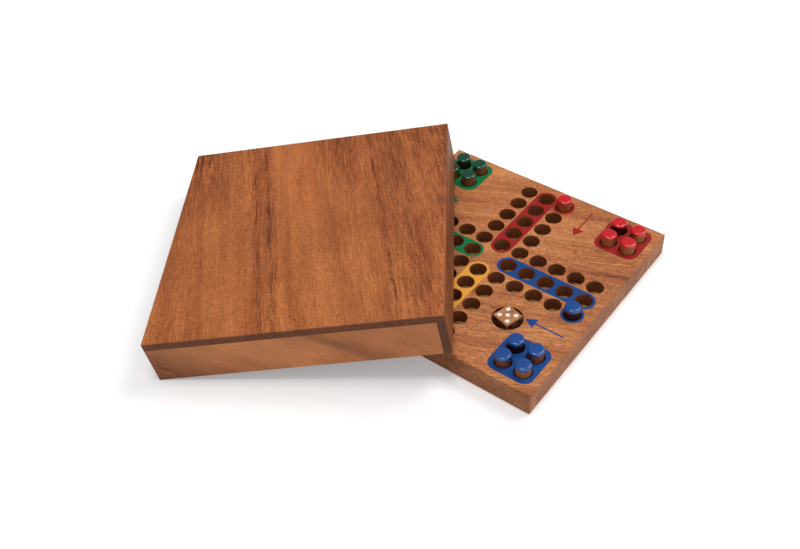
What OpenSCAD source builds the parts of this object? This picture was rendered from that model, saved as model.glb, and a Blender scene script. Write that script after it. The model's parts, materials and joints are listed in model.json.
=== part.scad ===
// Boxed peg ludo set: a drilled square board, a loose lid that leans on it,
// twenty pegs and a die. The origin is the middle of the board's underside.
// X and Y run along the board's sides, and Z is up.

/* [Board] */
// Side of the square board
board_w = 155; // [151:0.5:190]
// Thickness of the board
board_t = 15.5; // [13:0.5:24]
// Radius of the board's eased edges
board_ease = 1.0; // [0.4:0.1:2]

/* [Holes] */
// Distance between neighbouring holes
hole_pitch = 13; // [12.5:0.1:13.4]
// Air all round a peg in its hole
peg_gap = 0.6; // [0.3:0.1:1.2]
// Depth of a peg hole
hole_depth = 9; // [6:0.5:12]

/* [Pegs] */
// Diameter of a peg
peg_d = 9.5; // [7:0.1:9.9]
// Length of a peg
peg_len = 16; // [13:0.5:22]
// Radius of the rounded rim at a peg's top
peg_round = 1.2; // [0.4:0.1:2.5]
// Radius of the rounded rim at a peg's foot
peg_foot_round = 0.5; // [0.2:0.1:1.5]
// Length of a peg's painted tip
peg_dip = 2.2; // [1.5:0.1:4]

/* [Die] */
// Side of the die
die_w = 12.5; // [11.5:0.5:13]
// Radius of the die's rounded edges
die_round = 0.9; // [0.5:0.1:2.5]
// Turn of the die in its pocket, in degrees
die_turn = -16; // [-45:1:45]
// Diameter of a pip
pip_d = 2.8; // [1.2:0.1:3]
// Depth of the dimple that holds a pip's paint
pip_depth = 0.5; // [0.3:0.1:1]
// How far the paint in a dimple lies below the die's face
pip_sink = 0.15; // [0.05:0.05:0.25]
// Distance from a corner pip's middle to the edges of its face
pip_margin = 2.95; // [2.8:0.05:3.4]

/* [Die pocket] */
// Air between the die's corners and the pocket's wall when the die is in the middle
pocket_gap = 0.75; // [0.7:0.05:1.1]
// Depth of the pocket
pocket_depth = 9.5; // [5:0.5:12]
// Distance of the pocket's middle from each centre line of the board, in hole pitches
pocket_steps = 2.8; // [2.7:0.05:2.9]
// How far the die stands off the pocket's middle, out along X and along Y
die_shift = 0.2; // [0:0.05:0.45]

/* [Paint] */
// Thickness of the painted fields
paint_t = 0.12; // [0.05:0.01:0.3]
// Painted border round a hole
paint_border = 1.5; // [1:0.1:2]
// Painted border round a home field's four holes
home_border = 2.5; // [2:0.1:4]
// Corner radius of a home field
home_round = 6; // [2:0.5:7]
// Distance of a direction arrow's line from the board's centre line, in hole pitches
arrow_line_steps = 2.4; // [2.2:0.05:2.6]
// Distance of an arrow's tail from the board's other centre line, in hole pitches
arrow_tail_steps = 5.4; // [5:0.05:5.5]
// Distance of an arrow's tip from the board's other centre line, in hole pitches
arrow_tip_steps = 3.45; // [3.3:0.05:3.8]
// Length of an arrow's head
arrow_head_l = 6.8; // [4:0.1:8]
// Width of an arrow's head
arrow_head_w = 7.6; // [5:0.1:9]
// Width of an arrow's shaft
arrow_shaft_w = 0.9; // [0.5:0.1:2]

/* [Lid] */
// Gap between the board and the rails when the lid is on
lid_gap = 2.5; // [0.5:0.1:5]
// Thickness of the lid's top panel
panel_t = 5; // [3:0.5:9]
// Thickness of the lid's rails
rail_t = 5; // [3:0.5:8]
// Room over the pegs when the lid is on
head_gap = 2.5; // [1:0.5:10]
// Radius of the lid's eased edges
lid_ease = 0.9; // [0.3:0.1:1.5]

/* [Leaning lid] */
// Turn of the leaning lid on the table, in degrees
lid_turn = 35; // [33:0.5:37]
// How far the propping peg stands inside the lid's right face
prop_inset = 1.6; // [1:0.1:3]
// How far the propping peg stands from the lid's back face
prop_from_back = 6.6; // [5:0.1:9]
// Air left between the lid and the peg that props it
prop_gap = 0.15; // [0.05:0.05:0.5]

/* [Hidden] */
$fn = 48;
overlap = 0.01;

// Colours as seen
board_wood = "#B27B52";
lid_wood = "#A4613A";
red_ink = "#C8202C";
blue_ink = "#1B55B0";
yellow_ink = "#F5A82A";
green_ink = "#0E8A4A";
peg_wood = "#8E5A3A";
pip_white = "#EFEBE4";

// The track: three lines of holes on each arm, from one pitch out to five
arm_lines = [-1, 0, 1];
arm_steps = [1, 2, 3, 4, 5];
home_steps = [4, 5];
last_step = 5;
start_line = 1;

// Turn of each colour's quarter about the board's centre
red_turn = 0;
blue_turn = -90;
yellow_turn = -180;
green_turn = -270;
quarter_turns = [red_turn, blue_turn, yellow_turn, green_turn];

// Heights and sizes that follow
hole_d = peg_d + 2 * peg_gap;
peg_out = peg_len - hole_depth;
peg_base_z = board_t - hole_depth;
paint_d = hole_d + 2 * paint_border;
home_mid = hole_pitch * (home_steps[0] + home_steps[1]) / 2;
home_w = hole_pitch + hole_d + 2 * home_border;
die_base_z = board_t - pocket_depth;
die_corner_d = (die_w - 2 * die_round) * sqrt(2) + 2 * die_round;
pocket_d = die_corner_d + 2 * pocket_gap;
pocket_off = pocket_steps * hole_pitch;
pip_step = die_w / 2 - pip_margin;
arrow_off = arrow_line_steps * hole_pitch;
arrow_tail = arrow_tail_steps * hole_pitch;
arrow_tip = arrow_tip_steps * hole_pitch;
rail_h = board_t + peg_out + head_gap;
lid_w = board_w + 2 * (lid_gap + rail_t);
lid_h = rail_h + panel_t;
rail_l = lid_w - rail_t;

// The lid leans on one peg of the green home. Its left bottom edge lies on the table,
// and its underside just clears that peg's rounded rim.
prop_peg = [-last_step * hole_pitch, home_steps[0] * hole_pitch];
prop_top_z = board_t + peg_out;
prop_flat_r = peg_d / 2 - peg_round;
prop_run = lid_w * cos(asin(prop_top_z / lid_w)) - prop_inset;
prop_side = prop_run - prop_flat_r;
prop_rim_z = prop_top_z - peg_round;
lid_tilt = atan2(prop_rim_z, prop_side) + asin((peg_round + prop_gap) / norm([prop_side, prop_rim_z]));
lid_along = lid_w / 2 - prop_from_back;
lid_foot = [
    prop_peg[0] - prop_run * cos(lid_turn) + lid_along * sin(lid_turn),
    prop_peg[1] - prop_run * sin(lid_turn) - lid_along * cos(lid_turn)
];

// Pips of each face as steps of the pip grid; opposite faces add up to seven
pips_1 = [[0, 0]];
pips_2 = [[-1, -1], [1, 1]];
pips_3 = [[-1, -1], [0, 0], [1, 1]];
pips_4 = [[-1, -1], [-1, 1], [1, -1], [1, 1]];
pips_5 = [[-1, -1], [-1, 1], [0, 0], [1, -1], [1, 1]];
pips_6 = [[-1, -1], [0, -1], [1, -1], [-1, 1], [0, 1], [1, 1]];
// Each face's pips and the turn that brings the top face round to it
die_faces = [
    [pips_5, [0, 0, 0]],
    [pips_2, [180, 0, 0]],
    [pips_4, [90, 0, 0]],
    [pips_3, [-90, 0, 0]],
    [pips_6, [0, 90, 0]],
    [pips_1, [0, -90, 0]]
];

// A flat square with rounded corners
module round_square(w, d, r) {
    square([w - 2 * r, d], center = true);
    square([w, d - 2 * r], center = true);
    for (x = [-1, 1], y = [-1, 1])
        translate([x * (w / 2 - r), y * (d / 2 - r)])
            circle(r);
}

// A block with all twelve edges eased, standing on z = 0
module eased_block(w, d, h, r) {
    intersection() {
        linear_extrude(h)
            round_square(w, d, r);
        translate([0, d / 2, h / 2])
            rotate([90, 0, 0])
                linear_extrude(d)
                    round_square(w, h, r);
        translate([-w / 2, 0, h / 2])
            rotate([90, 0, 90])
                linear_extrude(w)
                    round_square(d, h, r);
    }
}

// Places children at each hole of the board; the arms share the four holes by the centre
module at_all_holes() {
    for (turn = quarter_turns)
        rotate(turn)
            for (line = arm_lines, step = arm_steps)
                if (abs(line) < step || line == start_line)
                    translate([line * hole_pitch, step * hole_pitch])
                        children();
    for (turn = quarter_turns)
        rotate(turn)
            for (x = home_steps, y = home_steps)
                translate([x * hole_pitch, y * hole_pitch])
                    children();
}

// Moves children to the middle of the die's pocket
module at_pocket() {
    translate([pocket_off, -pocket_off])
        children();
}

// The board: solid wood with blind peg holes and a round pocket for the die
module board() {
    color(board_wood)
        difference() {
            eased_block(board_w, board_w, board_t, board_ease);
            at_all_holes()
                translate([0, 0, peg_base_z])
                    cylinder(d = hole_d, h = hole_depth + overlap);
            at_pocket()
                translate([0, 0, die_base_z])
                    cylinder(d = pocket_d, h = pocket_depth + overlap);
        }
}

// Outline of one colour's painted fields, in the red quarter, before its holes
module field_outline() {
    lane_start = arm_steps[0] * hole_pitch;
    lane_end = last_step * hole_pitch;
    translate([-paint_d / 2, lane_start])
        square([paint_d, lane_end - lane_start]);
    for (y = [lane_start, lane_end])
        translate([0, y])
            circle(d = paint_d);
    translate([start_line * hole_pitch, lane_end])
        circle(d = paint_d);
    translate([home_mid, home_mid])
        round_square(home_w, home_w, home_round);
}

// Arrow that shows which way the pegs go round
module arrow_outline() {
    head_base = arrow_tip + arrow_head_l;
    translate([arrow_off, 0]) {
        polygon([[0, arrow_tip], [arrow_head_w / 2, head_base], [-arrow_head_w / 2, head_base]]);
        translate([-arrow_shaft_w / 2, head_base - overlap])
            square([arrow_shaft_w, arrow_tail - head_base + overlap]);
    }
}

// One colour's painted fields, turned to their own quarter and cut out at the holes
module painted_fields(ink, turn) {
    color(ink)
        translate([0, 0, board_t])
            linear_extrude(paint_t)
                difference() {
                    rotate(turn) {
                        field_outline();
                        arrow_outline();
                    }
                    at_all_holes()
                        circle(d = hole_d);
                    at_pocket()
                        circle(d = pocket_d);
                }
}

module red_paint() painted_fields(red_ink, red_turn);
module blue_paint() painted_fields(blue_ink, blue_turn);
module yellow_paint() painted_fields(yellow_ink, yellow_turn);
module green_paint() painted_fields(green_ink, green_turn);

// Turns and tips children from the lid's own frame to where the lid leans.
// There the left bottom edge is x = 0 and the middle of that edge is the origin.
module lean() {
    translate([lid_foot[0], lid_foot[1], 0])
        rotate([0, -lid_tilt, lid_turn])
            children();
}

// The whole outer form of the lid, from which each of its pieces is cut.
// Its top and upright edges are eased, and its rim is left square.
module lid_form() {
    translate([lid_w / 2, 0, 0])
        intersection() {
            translate([0, 0, -lid_ease])
                eased_block(lid_w, lid_w, lid_h + lid_ease, lid_ease);
            linear_extrude(lid_h)
                square(lid_w, center = true);
        }
}

module lid_top_panel() {
    color(lid_wood)
        lean()
            intersection() {
                lid_form();
                translate([0, -lid_w / 2, rail_h])
                    cube([lid_w, lid_w, panel_t]);
            }
}

// One rail. Each laps the next one's end, round the lid's middle.
module rail(turn) {
    color(lid_wood)
        lean()
            intersection() {
                lid_form();
                translate([lid_w / 2, 0, 0])
                    rotate(turn)
                        translate([-lid_w / 2, -lid_w / 2, 0])
                            cube([rail_l, rail_t, rail_h]);
            }
}

module lid_front_rail() rail(0);
module lid_right_rail() rail(90);
module lid_back_rail() rail(180);
module lid_left_rail() rail(270);

// Half outline of a peg, spun about its axis: a pin with a rounded top and an eased foot
module peg_profile() {
    r = peg_d / 2;
    square([r - peg_foot_round, peg_len / 2]);
    translate([0, peg_foot_round])
        square([r, peg_len - peg_foot_round - peg_round]);
    square([r - peg_round, peg_len]);
    intersection() {
        translate([r - peg_foot_round, peg_foot_round])
            circle(peg_foot_round);
        square([r, peg_len]);
    }
    translate([r - peg_round, peg_len - peg_round])
        circle(peg_round);
}

// The stretch of a peg between two heights above its foot
module peg_stretch(low, high) {
    rotate_extrude()
        intersection() {
            peg_profile();
            translate([0, low])
                square([peg_d, high - low]);
        }
}

// A peg that stands on the floor of its hole in the quarter of its colour:
// bare wood, with its tip dipped in paint
module peg(ink, turn, line, step) {
    rotate(turn)
        translate([line * hole_pitch, step * hole_pitch, peg_base_z]) {
            color(peg_wood)
                peg_stretch(0, peg_len - peg_dip);
            color(ink)
                peg_stretch(peg_len - peg_dip, peg_len);
        }
}

// Each colour has four pegs in its home and one on its start hole
home_spots = [
    [home_steps[0], home_steps[0]],
    [home_steps[1], home_steps[0]],
    [home_steps[0], home_steps[1]],
    [home_steps[1], home_steps[1]]
];
module home_peg(ink, turn, i) peg(ink, turn, home_spots[i][0], home_spots[i][1]);
module start_peg(ink, turn) peg(ink, turn, start_line, last_step);

module red_peg_1() home_peg(red_ink, red_turn, 0);
module red_peg_2() home_peg(red_ink, red_turn, 1);
module red_peg_3() home_peg(red_ink, red_turn, 2);
module red_peg_4() home_peg(red_ink, red_turn, 3);
module red_peg_5() start_peg(red_ink, red_turn);
module blue_peg_1() home_peg(blue_ink, blue_turn, 0);
module blue_peg_2() home_peg(blue_ink, blue_turn, 1);
module blue_peg_3() home_peg(blue_ink, blue_turn, 2);
module blue_peg_4() home_peg(blue_ink, blue_turn, 3);
module blue_peg_5() start_peg(blue_ink, blue_turn);
module yellow_peg_1() home_peg(yellow_ink, yellow_turn, 0);
module yellow_peg_2() home_peg(yellow_ink, yellow_turn, 1);
module yellow_peg_3() home_peg(yellow_ink, yellow_turn, 2);
module yellow_peg_4() home_peg(yellow_ink, yellow_turn, 3);
module yellow_peg_5() start_peg(yellow_ink, yellow_turn);
module green_peg_1() home_peg(green_ink, green_turn, 0);
module green_peg_2() home_peg(green_ink, green_turn, 1);
module green_peg_3() home_peg(green_ink, green_turn, 2);
module green_peg_4() home_peg(green_ink, green_turn, 3);
module green_peg_5() start_peg(green_ink, green_turn);

// Moves children from the die's own frame, centred in the die, to its pocket
module in_pocket() {
    at_pocket()
        translate([die_shift, -die_shift, die_base_z + die_w / 2])
            rotate(die_turn)
                children();
}

// Places children at each pip, with Z out of the face and z = 0 on the face
module at_pips() {
    for (face = die_faces)
        rotate(face[1])
            for (spot = face[0])
                translate([spot[0] * pip_step, spot[1] * pip_step, die_w / 2])
                    children();
}

module die() {
    color(board_wood)
        in_pocket()
            difference() {
                translate([0, 0, -die_w / 2])
                    eased_block(die_w, die_w, die_w, die_round);
                at_pips()
                    translate([0, 0, -pip_depth])
                        cylinder(d = pip_d, h = pip_depth + overlap);
            }
}

// The paint that fills each dimple of the die, a little below the face
module die_pips() {
    color(pip_white)
        in_pocket()
            at_pips()
                translate([0, 0, -pip_depth])
                    cylinder(d = pip_d, h = pip_depth - pip_sink);
}

board();
red_paint();
blue_paint();
yellow_paint();
green_paint();
lid_top_panel();
lid_front_rail();
lid_right_rail();
lid_back_rail();
lid_left_rail();
red_peg_1();
red_peg_2();
red_peg_3();
red_peg_4();
red_peg_5();
blue_peg_1();
blue_peg_2();
blue_peg_3();
blue_peg_4();
blue_peg_5();
yellow_peg_1();
yellow_peg_2();
yellow_peg_3();
yellow_peg_4();
yellow_peg_5();
green_peg_1();
green_peg_2();
green_peg_3();
green_peg_4();
green_peg_5();
die();
die_pips();
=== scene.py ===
"""Looks of the boxed peg ludo set: oiled hardwood, printed ink fields and dipped pegs."""
import json
import math

import bmesh
import bpy
from mathutils import Euler, Matrix, Vector


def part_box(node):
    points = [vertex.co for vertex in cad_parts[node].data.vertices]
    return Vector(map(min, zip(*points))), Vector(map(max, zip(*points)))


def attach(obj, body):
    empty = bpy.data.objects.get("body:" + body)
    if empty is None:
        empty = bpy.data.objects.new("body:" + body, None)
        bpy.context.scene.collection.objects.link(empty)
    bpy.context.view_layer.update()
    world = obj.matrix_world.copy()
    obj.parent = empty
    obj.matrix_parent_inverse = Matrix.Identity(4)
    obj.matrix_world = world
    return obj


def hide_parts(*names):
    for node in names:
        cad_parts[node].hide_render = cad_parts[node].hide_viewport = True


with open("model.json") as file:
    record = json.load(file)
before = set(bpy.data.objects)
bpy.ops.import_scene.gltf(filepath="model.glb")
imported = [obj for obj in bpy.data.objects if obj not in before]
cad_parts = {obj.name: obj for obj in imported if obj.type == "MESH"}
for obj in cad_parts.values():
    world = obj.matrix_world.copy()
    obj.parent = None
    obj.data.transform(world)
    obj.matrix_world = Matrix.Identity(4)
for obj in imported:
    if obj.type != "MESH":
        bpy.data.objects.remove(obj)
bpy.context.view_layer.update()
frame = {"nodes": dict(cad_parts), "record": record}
nodes = frame["nodes"]
MM = 0.001

# Camera, found from the grid of holes and the lid's corners in the photograph
CAMERA_AT = (0.24184, -0.36804, 0.43489)
CAMERA_AIM = (-0.03428, -0.04179, 0.0155)
CAMERA_ROLL = math.radians(-4.073)
CAMERA_LENS = 44.78
CAMERA_SHIFT_X = -0.0048

# Softboxes: place, aim and side in metres, and watts
SOFTBOXES = {
    "overhead_softbox": ((-0.14, -0.2, 2.28), (0, 0, 0), 0.8, 20.0),
    "back_softbox": ((0.4, 1.22, 1.91), (0, 0, 0), 1.0, 19.0),
    "right_fill": ((1.3, -0.75, 0.68), (0, 0, 0.02), 1.6, 6.0),
}
# Strength of the white surround as light on the object, and as what gloss mirrors
SURROUND = 0.38
SURROUND_MIRRORED = 0.14
# The table's own grey, what lifts it to white where the camera sees it, and the distances from
# the object, in metres, between which it turns fully white
TABLE_GREY = 0.82
TABLE_LIFT = 0.22
TABLE_WHITE_FROM = 0.45
TABLE_WHITE_BY = 1.0

# Turns about the vertical: the board's grain runs askew to its sides, and the die lies askew
BOARD_GRAIN_TURN = math.radians(-66)
DIE_TURN = math.radians(-16)
# Side of the square lid
LID_SIDE = 170 * MM

COLOURS = ("red", "blue", "yellow", "green")
PEGS_PER_COLOUR = 5
INK = {"red": "#981C1A", "blue": "#104284", "yellow": "#E29C3A", "green": "#0E703E"}
DIP = {"red": "#C8101C", "blue": "#0F468C", "yellow": "#E8921C", "green": "#0A4430"}
# How deep each colour's tips are dipped, in millimetres
DIP_DEPTH = {"red": 1.3, "blue": 2.1, "yellow": 1.9, "green": 1.8}

# Light, middle, dark and streak colours of each piece's wood
PANEL_TONES = ("#C07340", "#B3683B", "#9E562E", "#5C2A16")
# The front rail's tones are lighter, partly as painted light on the face turned to the light; the other
# rails' are darker, as painted shade on the lid's unlit right side
LIT_FRONT_RAIL_TONES = ("#D08A5A", "#C07A4C", "#A0623A", "#6A3A22")
SHADED_RAIL_TONES = ("#A4683F", "#8E5433", "#784228", "#4A2617")
BOARD_TONES = ("#CC8856", "#BE784A", "#A6623C", "#68361E")
DIE_TONES = ("#C99066", "#B87C53", "#A06844", "#7C4A2E")
PEG_TONES = ("#C47C50", "#AC6840", "#885032", "#56301C")
DARK_PEG_TONES = ("#6A3A22", "#542A19", "#401E12", "#2C140C")
PALE_PEG_TONES = ("#E8A874", "#D69460", "#B4784A", "#80502E")
# Pegs cut from a darker or a paler stick
ODD_PEG_TONES = {
    **dict.fromkeys(("blue_peg_1", "blue_peg_5", "red_peg_3", "green_peg_4"), DARK_PEG_TONES),
    **dict.fromkeys(("blue_peg_4", "red_peg_1", "red_peg_2", "red_peg_4", "red_peg_5", "yellow_peg_2"),
                    PALE_PEG_TONES),
}
PORE_BROWN = "#4A2212"
# Brown of oiled end grain, also used for painted shade on sides that the light misses
END_GRAIN_AND_SHADE_BROWN = "#42231A"
# Painted shade in the holes and in the die's pocket, and painted light on the holes' floors
HOLE_SHADE_BROWN = "#5A3018"
POCKET_SHADE_BLACK = "#140A05"
LIT_FLOOR_TAN = "#B4865C"
PIP_WHITE = "#F4E6DC"
PIP_DARK = "#1C120C"

# Sizes of the wood's patterns, in millimetres across and along the grain. The fibres, pores and
# specks are drawn coarser than real ones, so that they show.
FIGURE = (10, 150)
RAIL_FIGURE = (9, 60)
FRONT_RAIL_FIGURE = (30, 90)
DIE_FIGURE = (5, 30)
WANDER = (45, 80)
PATCH = (24, 50)
GROWTH_LINE = (1.3, 55)
DARK_LINE = (0.9, 14)
PORE_DRIFT = (7, 30)
FIBRE = (0.6, 7)
SPECK = (0.8, 1.8)
PORE = (0.5, 2.4)
PRINT_FIBRE = (0.8, 14)
ORANGE_PEEL = (1.8, 1.8)
BRUSH_DAB = (0.7, 0.7)
WANDER_REACH = 5 * MM
FRAY_REACH = 3 * MM

# Painted shade in the bores lies within the board's rim and clear of its underside. It starts
# below the top and is full a little deeper.
RIM = 2 * MM
UNDERSIDE = 1 * MM
HOLE_SHADE_START = 0.15 * MM
HOLE_SHADE_FULL = 0.9 * MM
HOLE_SHADE_STRENGTH = 0.45
# How far from the pocket's middle its walls lie, and how near its height a hole's floor is
POCKET_REACH = 11 * MM
FLOOR_BAND = 0.3 * MM

# Streaks are (millimetres across the grain, darkness). The panel's are measured from the lid's
# left side, and its grain runs askew to its sides.
PANEL_GRAIN_SKEW = math.radians(9.7)
PANEL_STREAKS = ((-15, 0.3), (10, 0.3), (26, 0.1), (46, 0.12), (50.5, 0.35), (53, 0.8), (55, 0.4),
                 (58, 0.4), (60.5, 0.95), (62.5, 0.5), (66, 0.1), (71, 0.0), (88, 0.0), (98, 0.25),
                 (112, 0.35), (121, 0.3), (127.5, 0.35), (129, 0.95), (130.5, 0.45), (137, 0.5),
                 (146, 0.6), (154, 0.45), (172, 0.6), (185, 0.6))
# Streaks of the panel's back half, and the places along the grain between which they come in
PANEL_BACK_STREAKS = ((-15, 0.95), (18, 0.9), (42, 0.35), (60, 0.0), (86, 0.0), (98, 0.65),
                      (103, 0.4), (109, 0.85), (116, 0.8), (123, 0.3), (140, 0.4), (160, 0.4))
PANEL_BACK_FADE = (-5, 75)
# Streaks of the board, measured from its middle, and where they come in
BOARD_STREAKS = ((-21, 0.0), (-18, 0.7), (-15, 0.35), (-5, 0.45), (2, 0.45), (5, 1.0), (6.5, 0.15),
                 (12, 0.0))
BOARD_FADE = (15, 50)
# Painted shade: the board is darkened towards its front, for the light falling off away from its back
BOARD_PAINTED_SHADE = ((-110, 0.0), (-45, 0.08), (0, 0.26), (30, 0.34), (110, 0.4))
# The front rail's figure slopes down to the right, with a dark left end, a pale patch in the
# middle and a dark streak right of it. Its streaks are measured from its lower left corner.
FRONT_RAIL_SLOPE = math.radians(36)
FRONT_RAIL_STREAKS = ((0, 1.0), (12, 0.9), (24, 0.5), (36, 0.32), (45, 0.05), (52, 0.0), (62, 0.0),
                      (70, 0.15), (76, 0.5), (81, 0.35), (88, 0.12), (104, 0.15))

# Pegs: the paint's thickness, the rounding of its lip and of the ends, and how finely they are
# turned. Points that are closer than a hair are one.
PEG_SKIN = 0.12 * MM
PEG_LIP_ROUND = 0.1 * MM
PEG_TOP_ROUND = 1.2 * MM
PEG_FOOT_ROUND = 0.5 * MM
PEG_SIDES = 56
HAIR = 0.001 * MM


def rgb(code):
    """A hex sRGB colour as linear red, green, blue and alpha."""
    parts = [int(code[i:i + 2], 16) / 255 for i in (1, 3, 5)]
    return [c / 12.92 if c <= 0.04045 else ((c + 0.055) / 1.055) ** 2.4 for c in parts] + [1.0]


def add(tree, kind, inputs=None, stops=(), easing="LINEAR", **settings):
    """Adds a shader node with its settings and links.

    An input is a value, a hex colour, an output socket, or a node whose first output feeds it.
    stops are a colour ramp's (place, grey or hex colour), and easing is the way between them."""
    node = tree.nodes.new("ShaderNode" + kind)
    for key, value in settings.items():
        setattr(node, key, value)
    for key, value in (inputs or {}).items():
        if isinstance(value, bpy.types.Node):
            value = value.outputs[0]
        if isinstance(value, bpy.types.NodeSocket):
            tree.links.new(value, node.inputs[key])
        else:
            node.inputs[key].default_value = rgb(value) if isinstance(value, str) else value
    if stops:
        node.color_ramp.interpolation = easing
        while len(node.color_ramp.elements) < len(stops):
            node.color_ramp.elements.new(1.0)
        for element, (place, colour) in zip(node.color_ramp.elements, stops):
            element.position = place
            element.color = rgb(colour) if isinstance(colour, str) else (colour, colour, colour, 1)
    return node


def new_material(name):
    """An empty node material with its output; returns the material, tree and output."""
    material = bpy.data.materials.new(name)
    material.use_nodes = True
    tree = material.node_tree
    tree.nodes.clear()
    output = add(tree, "OutputMaterial")
    return material, tree, output


def dress(obj, material):
    """Gives an object this material in place of what it has."""
    obj.data.materials.clear()
    obj.data.materials.append(material)


def middle_of(node):
    """The middle of a CAD node's foot."""
    low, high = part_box(node)
    return ((low[0] + high[0]) / 2, (low[1] + high[1]) / 2, low[2])


def lid_pose():
    """Foot, tilt and turn of the leaning lid, read from its own pieces."""
    rim = [v.co for v in nodes["lid_left_rail"].data.vertices if v.co.z < 0.01 * MM]
    front = min(rim, key=lambda co: co.y)
    back = max(rim, key=lambda co: co.y)
    side = (back - front).normalized()
    top = max(nodes["lid_top_panel"].data.polygons, key=lambda face: face.area * (face.normal.z > 0.5))
    tilt = math.atan2(top.normal.xy.length, top.normal.z)
    turn = math.atan2(-side.x, side.y)
    return front + side * LID_SIDE / 2, tilt, turn


def pattern(tree, at, size, detail=2.0, roughness=0.5):
    """A cloudy pattern whose unit is size millimetres across and along the grain."""
    across, along = size[0] * MM, size[1] * MM
    scaled = add(tree, "VectorMath", {0: at, 1: (1 / across, 1 / along, 1 / across)}, operation="MULTIPLY")
    return add(tree, "TexNoise", {"Vector": scaled, "Scale": 1.0, "Detail": detail, "Roughness": roughness})


def varied(tree, colour, by, strength, spread):
    """A colour made lighter and darker by a pattern."""
    greys = add(tree, "ValToRGB", {"Fac": by}, [(0.25, 0.5 - spread), (0.75, 0.5 + spread)])
    return add(tree, "MixRGB", {"Fac": strength, "Color1": colour, "Color2": greys}, blend_type="OVERLAY")


def streak_mask(tree, across, along, stops, fade):
    """Darkness of the streaks. stops are (millimetres across the grain, darkness), and fade
    gives the two places along the grain, in millimetres, between which the streaks come in."""
    first, last = stops[0][0], stops[-1][0]
    share = add(tree, "MapRange", {"Value": across, "From Min": first * MM, "From Max": last * MM})
    places = [((at - first) / (last - first), dark) for at, dark in stops]
    mask = add(tree, "ValToRGB", {"Fac": share}, places, "EASE")
    if fade:
        shown = add(tree, "MapRange", {"Value": along, "From Min": fade[0] * MM, "From Max": fade[1] * MM})
        mask = add(tree, "Math", {0: mask, 1: shown}, operation="MULTIPLY")
    return mask


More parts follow.
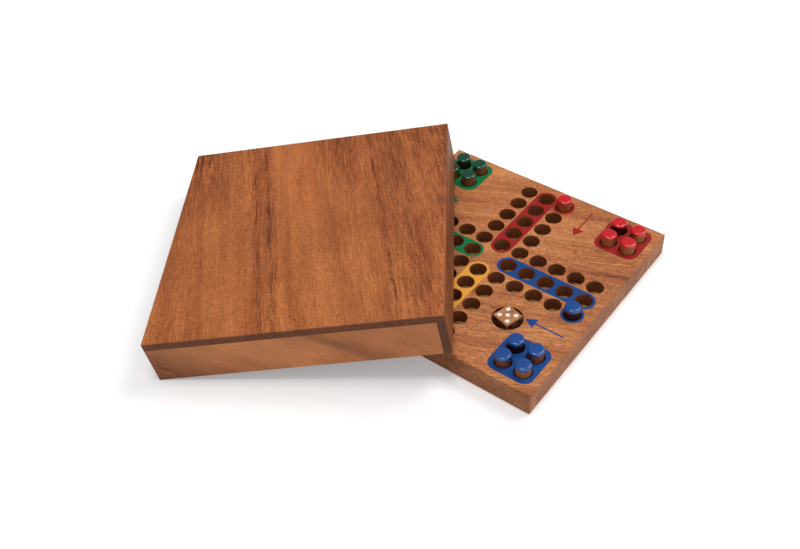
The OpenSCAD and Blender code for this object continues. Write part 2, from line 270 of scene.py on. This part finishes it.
def wood(name, foot, turn, tones, end_dark, painted_side_shade=0.0, streaks=(), seed=(0, 0, 0), figure=FIGURE,
         grit=0.5, holes=None):
    """Oiled monkeypod, sanded and rubbed with oil: brown, with darker streaks and open pores.

    foot and turn place the plank's own frame, with X across the grain and Y along it. tones are
    its light, middle, dark and streak colours, figure is the size of its figure, and grit is the
    strength of its fibres and pores. Faces across the grain are darkened by end_dark, for their
    end grain. Faces whose normal is the plank's X are darkened by the next argument, as painted
    shade for a side that the light misses."""
    material, tree, output = new_material(name)
    coords = add(tree, "TexCoord")
    placed = add(tree, "Mapping", {"Vector": coords.outputs["Object"], "Location": foot, "Rotation": turn},
                 vector_type="TEXTURE")
    moved = add(tree, "VectorMath", {0: placed, 1: seed}, operation="ADD")
    # The grain wanders by a few millimetres over a hand's breadth
    wander = pattern(tree, moved, WANDER, detail=1.0)
    shift = add(tree, "MapRange", {"Value": wander, "To Min": -WANDER_REACH, "To Max": WANDER_REACH})
    shift = add(tree, "CombineXYZ", {"X": shift})
    grain = add(tree, "VectorMath", {0: moved, 1: shift}, operation="ADD")
    light, middle, dark, streak = tones
    figured = pattern(tree, grain, figure, detail=3.0, roughness=0.55)
    colour = add(tree, "ValToRGB", {"Fac": figured}, [(0.3, dark), (0.5, middle), (0.7, light)], "EASE")
    colour = varied(tree, colour, pattern(tree, moved, PATCH), 0.5, 0.16)
    # Streaks have frayed edges and hold crowded dark lines
    growth = pattern(tree, grain, GROWTH_LINE, detail=3.0, roughness=0.7)
    fray = add(tree, "MapRange", {"Value": growth, "To Min": -FRAY_REACH, "To Max": FRAY_REACH})
    parts = add(tree, "SeparateXYZ", {"Vector": placed})
    across = add(tree, "Math", {0: parts.outputs["X"], 1: fray}, operation="ADD")
    lines = pattern(tree, grain, DARK_LINE, roughness=0.6)
    lines = add(tree, "ValToRGB", {"Fac": lines}, [(0.42, max(0.0, 1 - 1.6 * grit)), (0.6, 1.0)])
    drift = pattern(tree, moved, PORE_DRIFT, detail=1.0)
    drift = add(tree, "ValToRGB", {"Fac": drift}, [(0.35, 0.25), (0.65, 0.8)])
    for stops, fade in streaks:
        mask = streak_mask(tree, across, parts.outputs["Y"], stops, fade)
        drift = add(tree, "Math", {0: drift, 1: mask}, operation="MAXIMUM")
        mask = add(tree, "Math", {0: mask, 1: lines}, operation="MULTIPLY")
        colour = add(tree, "MixRGB", {"Fac": mask, "Color1": colour, "Color2": streak})
    colour = varied(tree, colour, growth, 0.6 * grit, 0.2)
    fibre = pattern(tree, grain, FIBRE, roughness=0.6)
    colour = varied(tree, colour, fibre, grit, 0.2)
    colour = varied(tree, colour, pattern(tree, grain, SPECK), grit, 0.2)
    # Open pores are dark ticks that come in drifts and crowd in the streaks
    pore = pattern(tree, grain, PORE, detail=1.0)
    open_pore = add(tree, "ValToRGB", {"Fac": pore}, [(0.54, 0.0), (0.68, 1.4 * grit)])
    open_pore = add(tree, "Math", {0: open_pore, 1: drift}, operation="MULTIPLY")
    colour = add(tree, "MixRGB", {"Fac": open_pore, "Color1": colour, "Color2": PORE_BROWN})
    # End grain drinks the oil and is darker. Faces along the plank's X are darkened as painted shade, for a
    # side that the light misses.
    lie = Euler(turn).to_matrix()
    for axis, darkness in (((0, 1, 0), end_dark), ((1, 0, 0), painted_side_shade)):
        facing = add(tree, "VectorMath", {0: coords.outputs["Normal"], 1: lie @ Vector(axis)},
                     operation="DOT_PRODUCT")
        facing = add(tree, "Math", {0: facing.outputs["Value"]}, operation="ABSOLUTE")
        end_grain_and_side_shade = add(tree, "ValToRGB", {"Fac": facing}, [(0.45, 0.0), (0.95, darkness)])
        colour = add(tree, "MixRGB", {"Fac": end_grain_and_side_shade, "Color1": colour, "Color2": END_GRAIN_AND_SHADE_BROWN})
    # Painted shade in the holes and painted light on their floors
    if holes:
        colour = bored(tree, coords, colour, *holes)
    gloss = add(tree, "MapRange", {"Value": fibre, "To Min": 0.42, "To Max": 0.6})
    sunk = add(tree, "ValToRGB", {"Fac": pore}, [(0.52, 1.0), (0.7, 0.0)])
    relief = add(tree, "MixRGB", {"Fac": 0.25, "Color1": sunk, "Color2": fibre})
    bump = add(tree, "Bump", {"Height": relief, "Strength": 0.4, "Distance": 0.15 * MM})
    shader = add(tree, "BsdfPrincipled", {"Base Color": colour, "Roughness": gloss, "Normal": bump,
                                          "IOR": 1.46, "Specular IOR Level": 0.18})
    tree.links.new(shader.outputs[0], output.inputs[0])
    return material


def bored(tree, coords, colour, half, top, floor, pocket):
    """Paints shade inside the board's holes, darkest in the die's pocket, and paints the floors of
    the holes paler, as painted light."""
    x, y, z = add(tree, "SeparateXYZ", {"Vector": coords.outputs["Object"]}).outputs
    x_reach = add(tree, "Math", {0: x}, operation="ABSOLUTE")
    y_reach = add(tree, "Math", {0: y}, operation="ABSOLUTE")
    reach = add(tree, "Math", {0: x_reach, 1: y_reach}, operation="MAXIMUM")
    inside = add(tree, "Math", {0: reach, 1: half - RIM}, operation="LESS_THAN")
    above = add(tree, "Math", {0: z, 1: UNDERSIDE}, operation="GREATER_THAN")
    bore = add(tree, "Math", {0: inside, 1: above}, operation="MULTIPLY")
    # Painted shade down the walls of the holes, deepest in the die's pocket
    below = add(tree, "MapRange", {"Value": z, "From Min": top - HOLE_SHADE_FULL, "From Max": top - HOLE_SHADE_START,
                                   "To Min": HOLE_SHADE_STRENGTH, "To Max": 0.0})
    hole_shade = add(tree, "Math", {0: bore, 1: below}, operation="MULTIPLY")
    colour = add(tree, "MixRGB", {"Fac": hole_shade, "Color1": colour, "Color2": HOLE_SHADE_BROWN})
    flat = add(tree, "CombineXYZ", {"X": x, "Y": y})
    away = add(tree, "VectorMath", {0: flat, 1: pocket}, operation="DISTANCE").outputs["Value"]
    in_pocket = add(tree, "Math", {0: away, 1: POCKET_REACH}, operation="LESS_THAN")
    in_pocket = add(tree, "Math", {0: hole_shade, 1: in_pocket}, operation="MULTIPLY")
    colour = add(tree, "MixRGB", {"Fac": in_pocket, "Color1": colour, "Color2": POCKET_SHADE_BLACK})
    # Painted light: the floors of the holes are painted paler
    on_floor = add(tree, "Math", {0: z, 1: floor, 2: FLOOR_BAND}, operation="COMPARE")
    on_floor = add(tree, "Math", {0: on_floor, 1: bore}, operation="MULTIPLY")
    return add(tree, "MixRGB", {"Fac": on_floor, "Color1": colour, "Color2": LIT_FLOOR_TAN})


def ink(name, code):
    """Screen-printed ink on wood finished with oil: even, satin, with the wood's fibres just telling."""
    material, tree, output = new_material(name)
    coords = add(tree, "TexCoord")
    turned = add(tree, "Mapping", {"Vector": coords.outputs["Object"], "Rotation": (0, 0, BOARD_GRAIN_TURN)},
                 vector_type="TEXTURE")
    fibre = pattern(tree, turned, PRINT_FIBRE, detail=3.0, roughness=0.6)
    greys = add(tree, "ValToRGB", {"Fac": fibre}, [(0.3, 0.38), (0.7, 0.6)])
    colour = add(tree, "MixRGB", {"Fac": 0.22, "Color1": code, "Color2": greys}, blend_type="OVERLAY")
    gloss = add(tree, "MapRange", {"Value": fibre, "To Min": 0.38, "To Max": 0.55})
    bump = add(tree, "Bump", {"Height": fibre, "Strength": 0.25, "Distance": 0.05 * MM})
    shader = add(tree, "BsdfPrincipled", {"Base Color": colour, "Roughness": gloss, "Normal": bump,
                                          "Specular IOR Level": 0.2})
    tree.links.new(shader.outputs[0], output.inputs[0])
    return material


def dipped_paint(name, code):
    """Gloss enamel from a dip: a smooth skin, with a soft orange-peel of about 2 mm."""
    material, tree, output = new_material(name)
    coords = add(tree, "TexCoord")
    peel = pattern(tree, coords.outputs["Object"], ORANGE_PEEL, detail=1.0)
    greys = add(tree, "ValToRGB", {"Fac": peel}, [(0.3, 0.4), (0.7, 0.6)])
    tint = add(tree, "MixRGB", {"Fac": 0.15, "Color1": code, "Color2": greys}, blend_type="OVERLAY")
    bump = add(tree, "Bump", {"Height": peel, "Strength": 0.15, "Distance": 0.1 * MM})
    shader = add(tree, "BsdfPrincipled", {"Base Color": tint, "Roughness": 0.3, "Normal": bump,
                                          "Specular IOR Level": 0.3, "Coat Weight": 1.0,
                                          "Coat Roughness": 0.1, "Coat IOR": 1.6})
    tree.links.new(shader.outputs[0], output.inputs[0])
    return material


def pip_paint(name):
    """Matt enamel dabbed into the pips: pale on the die's top, and dark on its sides."""
    material, tree, output = new_material(name)
    coords = add(tree, "TexCoord")
    dab = pattern(tree, coords.outputs["Object"], BRUSH_DAB)
    up = add(tree, "SeparateXYZ", {"Vector": coords.outputs["Normal"]}).outputs["Z"]
    on_top = add(tree, "Math", {0: up, 1: 0.7}, operation="GREATER_THAN")
    tint = add(tree, "MixRGB", {"Fac": on_top, "Color1": PIP_DARK, "Color2": PIP_WHITE})
    tint = varied(tree, tint, dab, 0.35, 0.2)
    shader = add(tree, "BsdfPrincipled", {"Base Color": tint, "Roughness": 0.5})
    tree.links.new(shader.outputs[0], output.inputs[0])
    return material


def rounded_rim(bm, radius, height, rounding, segments):
    """Rounds the ring of edges at this radius and height."""
    ring = [vert for vert in bm.verts
            if abs(vert.co.z - height) < HAIR and abs(vert.co.xy.length - radius) < HAIR]
    rim = [edge for edge in bm.edges if edge.verts[0] in ring and edge.verts[1] in ring]
    bmesh.ops.bevel(bm, geom=rim, offset=rounding, offset_type="OFFSET", affect="EDGES", segments=segments,
                    profile=0.5, material=-1)


def turned_peg(node, dip):
    """A turned pin whose tip carries a skin of paint, with the skin's lower lip rounded."""
    low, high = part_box(node)
    full = (high[0] - low[0]) / 2
    pin = full - PEG_SKIN
    foot, top = low[2], high[2]
    lip = top - dip - PEG_SKIN
    profile = ((0, foot), (pin, foot), (pin, lip), (full, lip), (full, top), (0, top))
    bm = bmesh.new()
    verts = [bm.verts.new((radius, 0, height)) for radius, height in profile]
    edges = [bm.edges.new(pair) for pair in zip(verts, verts[1:])]
    bmesh.ops.spin(bm, geom=verts + edges, axis=(0, 0, 1), cent=(0, 0, 0), angle=math.tau,
                   steps=PEG_SIDES, use_merge=True)
    bmesh.ops.remove_doubles(bm, verts=bm.verts, dist=HAIR)
    bmesh.ops.recalc_face_normals(bm, faces=bm.faces)
    rounded_rim(bm, pin, foot, PEG_FOOT_ROUND, 4)
    rounded_rim(bm, full, lip, PEG_LIP_ROUND, 4)
    rounded_rim(bm, full, top, PEG_TOP_ROUND, 8)
    for face in bm.faces:
        face.material_index = 1 if face.calc_center_median().z > lip + 0.35 * PEG_SKIN else 0
        face.smooth = True
    bmesh.ops.translate(bm, vec=(*middle_of(node)[:2], 0), verts=bm.verts)
    return bm


def body_of(node):
    """The body that a CAD node belongs to."""
    return next(body for body, members in frame["record"]["behaviour"]["bodies"].items() if node in members)


def make_pegs():
    """Twenty dipped pegs, each standing for its CAD node."""
    for colour in COLOURS:
        paint = dipped_paint(colour + "_dipped_enamel", DIP[colour])
        for i in range(1, PEGS_PER_COLOUR + 1):
            node = f"{colour}_peg_{i}"
            seed = (0.031 * i, 0.017 * COLOURS.index(colour), 0.05 * i)
            pin = wood(f"{node}_turned_wood", middle_of(node), (math.radians(90), 0, 0),
                       ODD_PEG_TONES.get(node, PEG_TONES), end_dark=0.2, seed=seed)
            name = f"{colour}_dipped_peg_{i}"
            mesh = bpy.data.meshes.new(name)
            mesh.materials.append(pin)
            mesh.materials.append(paint)
            bm = turned_peg(node, DIP_DEPTH[colour] * MM)
            bm.to_mesh(mesh)
            bm.free()
            peg = bpy.data.objects.new(name, mesh)
            bpy.context.scene.collection.objects.link(peg)
            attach(peg, body_of(node))
            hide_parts(node)


def make_wood():
    """Materials of the board and of the lid's five pieces, each with its own grain."""
    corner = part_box("board")[1]
    hole_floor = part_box("red_peg_1")[0][2]
    pocket = (*middle_of("die")[:2], 0)
    # The board gets painted shade on its front-left side, and painted shade deepening towards its front
    board = wood("board_oiled_monkeypod", (0, 0, 0), (0, 0, BOARD_GRAIN_TURN), BOARD_TONES,
                 end_dark=0.2, painted_side_shade=0.38, streaks=((BOARD_PAINTED_SHADE, None), (BOARD_STREAKS, BOARD_FADE)),
                 seed=(0.4, 0.1, 0.2), grit=0.65, holes=(corner[0], corner[2], hole_floor, pocket))
    dress(nodes["board"], board)
    foot, tilt, turn = lid_pose()
    leaned = Euler((0, -tilt, turn)).to_matrix()
    skewed = leaned @ Euler((0, 0, PANEL_GRAIN_SKEW)).to_matrix()
    # The panel's left and right edges get painted shade
    panel = wood("lid_panel_oiled_monkeypod", foot, tuple(skewed.to_euler()), PANEL_TONES,
                 end_dark=0.75, painted_side_shade=0.3,
                 streaks=((PANEL_STREAKS, None), (PANEL_BACK_STREAKS, PANEL_BACK_FADE)))
    dress(nodes["lid_top_panel"], panel)
    # The front and back rails run across. Their X is turned up the rail's face.
    crosswise = Euler((0, 0, math.radians(90))).to_matrix() @ Euler((0, math.radians(-90), 0)).to_matrix()
    front_slope = Euler((0, FRONT_RAIL_SLOPE, 0)).to_matrix()
    # The front rail takes the lighter tones, partly painted light, and the others the darker ones, painted
    # shade
    plain = {"tones": SHADED_RAIL_TONES, "figure": RAIL_FIGURE}
    sloping = {"tones": LIT_FRONT_RAIL_TONES, "figure": FRONT_RAIL_FIGURE, "grit": 0.2,
               "streaks": ((FRONT_RAIL_STREAKS, None),)}
    rails = {
        "front": (leaned @ front_slope @ crosswise, sloping),
        "right": (leaned, plain),
        "back": (leaned @ crosswise, plain),
        "left": (leaned, plain),
    }
    for i, (side, (lie, look)) in enumerate(rails.items()):
        seed = (0.21 * i + 0.3, 0.13 * i, 0.07 * i + 0.4)
        rail = wood(f"lid_{side}_rail_oiled_monkeypod", foot, tuple(lie.to_euler()), end_dark=0.75,
                    seed=seed, **look)
        dress(nodes[f"lid_{side}_rail"], rail)


def make_inks():
    """Printed fields."""
    for colour in COLOURS:
        dress(nodes[colour + "_paint"], ink(colour + "_printed_ink", INK[colour]))


def make_die():
    """The die and its pips."""
    # The die's four sides are darkened for their end grain, and as painted shade for the pocket they sit in
    die = wood("die_sanded_wood", middle_of("die"), (0, 0, DIE_TURN), DIE_TONES, end_dark=0.8,
               painted_side_shade=0.7, seed=(0.7, 0.3, 0.1), figure=DIE_FIGURE)
    dress(nodes["die"], die)
    dress(nodes["die_pips"], pip_paint("pip_enamel"))


def make_stage():
    """A plain white table that keeps the object's shadow and is seen pure white far from it."""
    bpy.ops.mesh.primitive_plane_add(size=12, location=(0, 0, -0.02 * MM))
    table = bpy.context.object
    table.name = "table_top"
    material, tree, output = new_material("white_table")
    lit = add(tree, "BsdfDiffuse", {"Color": (TABLE_GREY, TABLE_GREY, TABLE_GREY, 1)})
    path = add(tree, "LightPath")
    seen = add(tree, "Math", {0: path.outputs["Is Camera Ray"], 1: path.outputs["Is Glossy Ray"]},
               operation="MAXIMUM")
    near = add(tree, "Math", {0: seen, 1: TABLE_LIFT}, operation="MULTIPLY")
    coords = add(tree, "TexCoord")
    distance = add(tree, "VectorMath", {0: coords.outputs["Object"]}, operation="LENGTH").outputs["Value"]
    beyond = add(tree, "MapRange", {"Value": distance, "From Min": TABLE_WHITE_FROM,
                                    "From Max": TABLE_WHITE_BY})
    far = add(tree, "Math", {0: path.outputs["Is Camera Ray"], 1: beyond}, operation="MULTIPLY")
    lift = add(tree, "Math", {0: near, 1: far}, operation="MAXIMUM")
    glow = add(tree, "Emission", {"Color": (1, 1, 1, 1), "Strength": lift})
    both = add(tree, "AddShader", {0: lit, 1: glow})
    tree.links.new(both.outputs[0], output.inputs[0])
    dress(table, material)


def make_light():
    """Softboxes overhead and behind, a fill from the right, and a white surround."""
    world = bpy.data.worlds.new("studio_surround")
    world.use_nodes = True
    tree = world.node_tree
    tree.nodes.clear()
    path = add(tree, "LightPath")
    seen = add(tree, "Math", {0: path.outputs["Is Camera Ray"], 1: path.outputs["Is Transmission Ray"]},
               operation="MAXIMUM")
    unseen = add(tree, "MapRange", {"Value": path.outputs["Is Glossy Ray"], "To Min": SURROUND,
                                    "To Max": SURROUND_MIRRORED})
    strength = add(tree, "MapRange", {"Value": seen, "To Min": unseen, "To Max": 1.0})
    surround = add(tree, "Background", {"Color": (1, 1, 1, 1), "Strength": strength})
    output = add(tree, "OutputWorld")
    tree.links.new(surround.outputs[0], output.inputs[0])
    bpy.context.scene.world = world
    for name, (at, aim, side, watts) in SOFTBOXES.items():
        data = bpy.data.lights.new(name, "AREA")
        data.shape = "SQUARE"
        data.size = side
        data.energy = watts
        lamp = bpy.data.objects.new(name, data)
        lamp.location = at
        lamp.rotation_euler = (Vector(aim) - Vector(at)).to_track_quat("-Z", "Y").to_euler()
        bpy.context.scene.collection.objects.link(lamp)


def make_camera():
    """The photograph's view."""
    data = bpy.data.cameras.new("photo_camera")
    data.sensor_width = 36
    data.sensor_fit = "HORIZONTAL"
    data.lens = CAMERA_LENS
    data.shift_x = CAMERA_SHIFT_X
    data.clip_start = 0.01
    camera = bpy.data.objects.new("photo_camera", data)
    ahead = Vector(CAMERA_AIM) - Vector(CAMERA_AT)
    level = ahead.to_track_quat("-Z", "Y").to_matrix()
    rolled = level @ Matrix.Rotation(CAMERA_ROLL, 3, "Z")
    camera.matrix_world = Matrix.Translation(CAMERA_AT) @ rolled.to_4x4()
    bpy.context.scene.collection.objects.link(camera)
    bpy.context.scene.camera = camera


make_camera()
make_stage()
make_light()
make_wood()
make_inks()
make_pegs()
make_die()
bpy.context.scene.view_settings.view_transform = "Standard"
